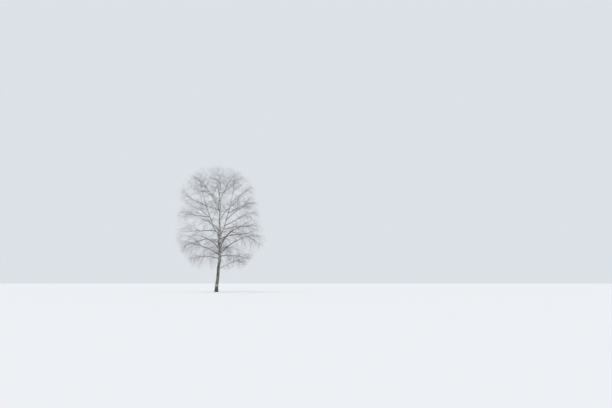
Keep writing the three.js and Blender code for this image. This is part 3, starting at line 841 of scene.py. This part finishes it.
def bear(parents, kind, fits):
    """Every parent bears its children, each turned on by the golden angle. One that can't fit is left out."""
    lines, radii, seeds, tints, owners = parents
    index = np.arange(kind["count"])
    share = kind["start"] + (1 - kind["start"]) * ((index + 0.5) / kind["count"])
    spot = share * (lines.shape[1] - 1)
    step = np.floor(spot).astype(int)
    part = (spot - step)[:, None]
    roots = lines[:, step] * (1 - part) + lines[:, step + 1] * part
    way = unit(lines[:, step + 1] - lines[:, step])
    seeds = child_seeds(seeds[:, None], index)
    roll = dice(seeds)
    headings = headings_off(way, (index * GOLDEN_ANGLE + next(roll) - 0.5)[..., None], kind)
    lengths = kind["length"] * (1 - (1 - TIP_LENGTH) * share) * (1 + (next(roll) - 0.5) * LENGTH_SPREAD)
    parent_radii = radii[:, step] * (1 - part[:, 0]) + radii[:, step + 1] * part[:, 0]
    girths = np.minimum(kind["girth"], CHILD_GIRTH * parent_radii)

    roots, headings = roots.reshape(-1, 3), headings.reshape(-1, 3)
    lengths, girths, seeds = lengths.ravel(), girths.ravel(), seeds.ravel()
    tints, owners = np.repeat(tints, kind["count"]), np.repeat(owners, kind["count"])
    made = np.full((len(seeds), kind["steps"] + 1, 3), np.nan)
    for fit in FITS:
        left = np.flatnonzero(np.isnan(made[:, 0, 0]))
        if not len(left):
            break
        tried = twig_lines(roots[left], headings[left], fit * lengths[left], kind, seeds[left])
        good = fits(tried)
        made[left[good]] = tried[good]
    kept = ~np.isnan(made[:, 0, 0])
    taper = (1 - np.arange(kind["steps"] + 1) / kind["steps"]) ** TWIG_TAPER
    return made[kept], girths[kept][:, None] * taper, seeds[kept], tints[kept], owners[kept]


bare_wood = [trunk] + [
    {"line": limb["line"][: limb["bare_steps"] + 1], "radii": limb["radii"][: limb["bare_steps"] + 1]}
    for limb in limbs.values() if limb["bare_steps"]
]
bare_segments = segments_of([wood["line"] for wood in bare_wood])
bare_radii = np.concatenate([wood["radii"][:-1] for wood in bare_wood])
masses = {
    name: [limb["line"][limb["bare_steps"]:]] + [fork["line"] for fork in forks[name]]
    for name, limb in limbs.items()
}


def is_clear(lines):
    """Whether twigs keep inside the crown, and off the trunk and every bough."""
    points = lines[:, 1:].reshape(-1, 3)
    clear = (distances_to(bare_segments, points) - bare_radii).min(-1) >= LIMB_MARGIN
    inside = crown_share(points) <= 1
    return (clear & inside).reshape(len(lines), -1).all(-1)


def room_for(name):
    """The test for the branchlets of one mass: they are clear, and in the mass's own space."""
    own = segments_of(masses[name])
    others = segments_of([line for other, lines in masses.items() if other != name for line in lines])

    def fits(lines):
        points = lines[:, 1:].reshape(-1, 3)
        inside = distances_to(others, points).min(-1) > distances_to(own, points).min(-1) + SPACE_MARGIN
        return is_clear(lines) & inside.reshape(len(lines), -1).all(-1)

    return fits


def joined_twigs(name, lines, radii, sides, tints):
    """One mesh of many closed tapering twigs, each with the tint of its spray."""
    count, points = len(lines), lines.shape[1]
    ways = unit(np.gradient(lines, axis=1))
    overall = unit(lines[:, -1] - lines[:, 0])
    side = np.cross(overall, (0, 0, 1))
    side = np.where(np.linalg.norm(side, axis=-1, keepdims=True) < 0.05, (1.0, 0.0, 0.0), side)[:, None]
    across = unit(side - ways * (side * ways).sum(-1, keepdims=True))
    over = np.cross(ways, across)
    turn = 2 * math.pi * np.arange(sides) / sides
    wheel = across[:, :, None] * np.cos(turn)[:, None] + over[:, :, None] * np.sin(turn)[:, None]
    rings = lines[:, :-1, None] + radii[:, :-1, None, None] * wheel[:, :-1]
    spots = np.concatenate([rings.reshape(count, -1, 3), lines[:, -1:]], axis=1)

    ring_starts = (np.arange(points - 2) * sides)[:, None]
    here = np.arange(sides)
    onward = (here + 1) % sides
    lower, upper = ring_starts + here, ring_starts + onward
    walls = [np.stack([lower, upper, upper + sides], -1), np.stack([lower, upper + sides, lower + sides], -1)]
    tip = (points - 1) * sides
    end_ring = tip - sides
    ends = np.stack([end_ring + here, end_ring + onward, np.full(sides, tip)], -1)
    cap = np.stack([np.zeros(sides - 2, int), here[2:], here[1:-1]], -1)
    pattern = np.concatenate([wall.reshape(-1, 3) for wall in walls] + [ends, cap])
    faces = pattern + (np.arange(count) * spots.shape[1])[:, None, None]

    mesh = bpy.data.meshes.new(name)
    mesh.vertices.add(count * spots.shape[1])
    mesh.loops.add(faces.size)
    mesh.polygons.add(faces.size // 3)
    mesh.loops.foreach_set("vertex_index", faces.astype(np.int32).ravel())
    mesh.polygons.foreach_set("loop_start", np.arange(0, faces.size, 3, dtype=np.int32))
    mesh.polygons.foreach_set("loop_total", np.full(faces.size // 3, 3, dtype=np.int32))
    mesh.polygons.foreach_set("material_index", np.repeat(tints, len(pattern)).astype(np.int32))
    mesh.update(calc_edges=True)
    return mesh, spots.reshape(-1, 3)


def build_twig_group():
    """Twig bark: two close tones in patches along the twig, with fine warts."""
    dark, light = TWIG_TINTS[0]
    inputs = (("Dark", "NodeSocketColor", dark), ("Light", "NodeSocketColor", light))
    group, given, made = bark_group_of("twig_bark", inputs)
    place = node_of(group, "ShaderNodeTexCoord").outputs["Object"]
    tone = ramped(group, stretched_noise(group, place, (9, 9, 9), 3), 0.36, 0.64)
    warts = ramped(group, stretched_noise(group, place, (420, 420, 420), 1), 0.58, 0.66)
    colour = mixed(group, tone, given.outputs["Dark"], given.outputs["Light"])
    group.links.new(colour, made.inputs["Color"])
    group.links.new(ramped(group, tone, 0, 1, 0.5, 0.75), made.inputs["Roughness"])
    group.links.new(warts, made.inputs["Height"])
    return group


twig_group = build_twig_group()
twig_barks = [
    bark_material(f"twig_bark_{number}", twig_group, relief=0.0006, specular=0.5, Dark=dark, Light=light)
    for number, (dark, light) in enumerate(TWIG_TINTS, start=1)
]


def shed(twigs):
    """Drops twigs where the crown is crowded."""
    lines, seeds = twigs[0], twigs[2]
    cells = np.unique(np.floor(lines[:, -1] / CROWD_CELL), axis=0, return_inverse=True)[1].ravel()
    order = np.lexsort((seeds, cells))
    rank = np.arange(len(order)) - np.searchsorted(cells[order], cells[order])
    room = CROWD_INSIDE + (CROWD_OUTSIDE - CROWD_INSIDE) * crown_share(lines[order, -1]) ** 2
    room *= np.interp(lines[order, -1, 2], CROWD_HEIGHTS, CROWD_SHARES)
    kept = np.sort(order[rank < room])
    return tuple(part[kept] for part in twigs)


def together(broods):
    """Several broods of twigs as one."""
    return tuple(np.concatenate(part) for part in zip(*broods))


def branchlets_on(line, radii, seed, owner, kind, per_step, fits):
    """The branchlets of one stem, fork or length of bare wood. The owner is the number of its limb."""
    parent = (line[None], radii[None], np.array([seed]), [0], [owner])
    return bear(parent, {**kind, "count": nearest(per_step * (len(line) - 1))}, fits)


limb_numbers = {name: number for number, name in enumerate(limbs)}
broods = []
for name, limb in limbs.items():
    owner = limb_numbers[name]
    bare = limb["bare_steps"]
    fits = room_for(name)
    stem = {"line": limb["line"][bare:], "radii": limb["radii"][bare:], "seed": limb["seed"]}
    for wood in [stem, *forks[name]]:
        own = wood["line"], wood["radii"], wood["seed"]
        broods.append(branchlets_on(*own, owner, BRANCHLETS, BRANCHLETS["per_step"], fits))
    if bare:
        inner = limb["line"][: bare + 1], limb["radii"][: bare + 1], limb["seed"] + INNER_SEEDS
        per_step = np.interp(limb["line"][0][2], INNER_HEIGHTS, INNER_PER_STEP)
        broods.append(branchlets_on(*inner, owner, INNER_BRANCHLETS, per_step, is_clear))
for first, last, per_step in TRUNK_INNER:
    inner = trunk["line"][first:last], trunk["radii"][first:last], TRUNK_SEED + INNER_SEEDS + first
    broods.append(branchlets_on(*inner, limb_numbers["top"], INNER_BRANCHLETS, per_step, is_clear))
lines, radii, seeds, _, owners = together(broods)
branchlets = (lines, radii, seeds, seeds // TINT_DRAW % len(TWIG_TINTS), owners)
low = lines[:, 0, 2] < HANGING_BELOW
hanging = bear(tuple(part[low] for part in branchlets), HANGING_TWIGS, in_reach)
twigs = shed(together([bear(branchlets, TWIGS, in_reach), hanging]))
fine_twigs = bear(twigs, FINE_TWIGS, in_reach)

growth = (
    ("branchlets", BRANCHLETS, branchlets),
    ("twigs", TWIGS, twigs),
    ("fine_twigs", FINE_TWIGS, fine_twigs),
)
for spray, names in SPRAYS.items():
    numbers = [limb_numbers[name] for name in names]
    for label, kind, (lines, radii, _, tints, owners) in growth:
        own = np.isin(owners, numbers)
        mesh, spots = joined_twigs(f"{spray}_{label}", lines[own], radii[own], kind["sides"], tints[own])
        piece = finish_wood(mesh, spots, twig_barks)
        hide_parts(*(name + "_twigs" for name in names))

# The stage: a plain pale floor that runs on to a low horizon under a pale even sky, with one broad soft
# light from the left. Neither is part of the tree.

FLOOR_REACH = 620.0
FLOOR_COLOUR = (0.905, 0.895, 0.885, 1)
FLOOR_ROUGHNESS = 0.9
SKY_COLOUR = (0.72, 0.755, 0.80, 1)
SKY_STRENGTH = 1.0
LIGHT_STRENGTH = 0.9
LIGHT_SPREAD = math.radians(50)
LIGHT_RISE = math.radians(52)
LIGHT_TOWARD = math.radians(-38)  # the side that it comes from, where 0 is the camera's and -90 the left

bm = bmesh.new()
bmesh.ops.create_circle(bm, cap_ends=True, segments=96, radius=FLOOR_REACH)
floor_mesh = bpy.data.meshes.new("floor")
bm.to_mesh(floor_mesh)
bm.free()
floor = bpy.data.objects.new("floor", floor_mesh)
bpy.context.scene.collection.objects.link(floor)
floor_material = bpy.data.materials.new("floor")
floor_material.use_nodes = True
floor_shader = floor_material.node_tree.nodes["Principled BSDF"]
floor_shader.inputs["Base Color"].default_value = FLOOR_COLOUR
floor_shader.inputs["Roughness"].default_value = FLOOR_ROUGHNESS
floor_mesh.materials.append(floor_material)

world = bpy.data.worlds.new("sky")
world.use_nodes = True
sky_shader = world.node_tree.nodes["Background"]
sky_shader.inputs["Color"].default_value = SKY_COLOUR
sky_shader.inputs["Strength"].default_value = SKY_STRENGTH
bpy.context.scene.world = world

sun = bpy.data.lights.new("soft_light", "SUN")
sun.energy = LIGHT_STRENGTH
sun.angle = LIGHT_SPREAD
light = bpy.data.objects.new("soft_light", sun)
light.rotation_euler = (math.pi / 2 - LIGHT_RISE, 0, LIGHT_TOWARD)
bpy.context.scene.collection.objects.link(light)
bpy.context.scene.view_settings.view_transform = "Standard"

# The camera: a 50 mm lens at eye height, where the foot of the tree stands at the photograph's place in the
# frame and the level ground ends at the photograph's horizon.

FRAME_WIDTH = 612
FRAME_HEIGHT = 408
LENS = 50.0
SENSOR = 36.0
EYE_HEIGHT = 1.44
HORIZON_ROW = 281.7
FOOT_COLUMN = 216.4
FOOT_ROW = 292.0

focal = LENS / SENSOR * FRAME_WIDTH
pitch = math.atan((HORIZON_ROW - FRAME_HEIGHT / 2) / focal)
below = FOOT_ROW - FRAME_HEIGHT / 2
ahead = focal * math.cos(pitch) + below * math.sin(pitch)
drop = below * math.cos(pitch) - focal * math.sin(pitch)
aside = FRAME_WIDTH / 2 - FOOT_COLUMN
camera_data = bpy.data.cameras.new("camera")
camera_data.lens = LENS
camera_data.sensor_width = SENSOR
camera_data.clip_end = 2 * FLOOR_REACH
camera = bpy.data.objects.new("camera", camera_data)
camera.location = (0, -EYE_HEIGHT * math.hypot(ahead, aside) / drop, EYE_HEIGHT)
camera.rotation_euler = (math.pi / 2 + pitch, 0, -math.atan2(aside, ahead))
bpy.context.scene.collection.objects.link(camera)
bpy.context.scene.camera = camera
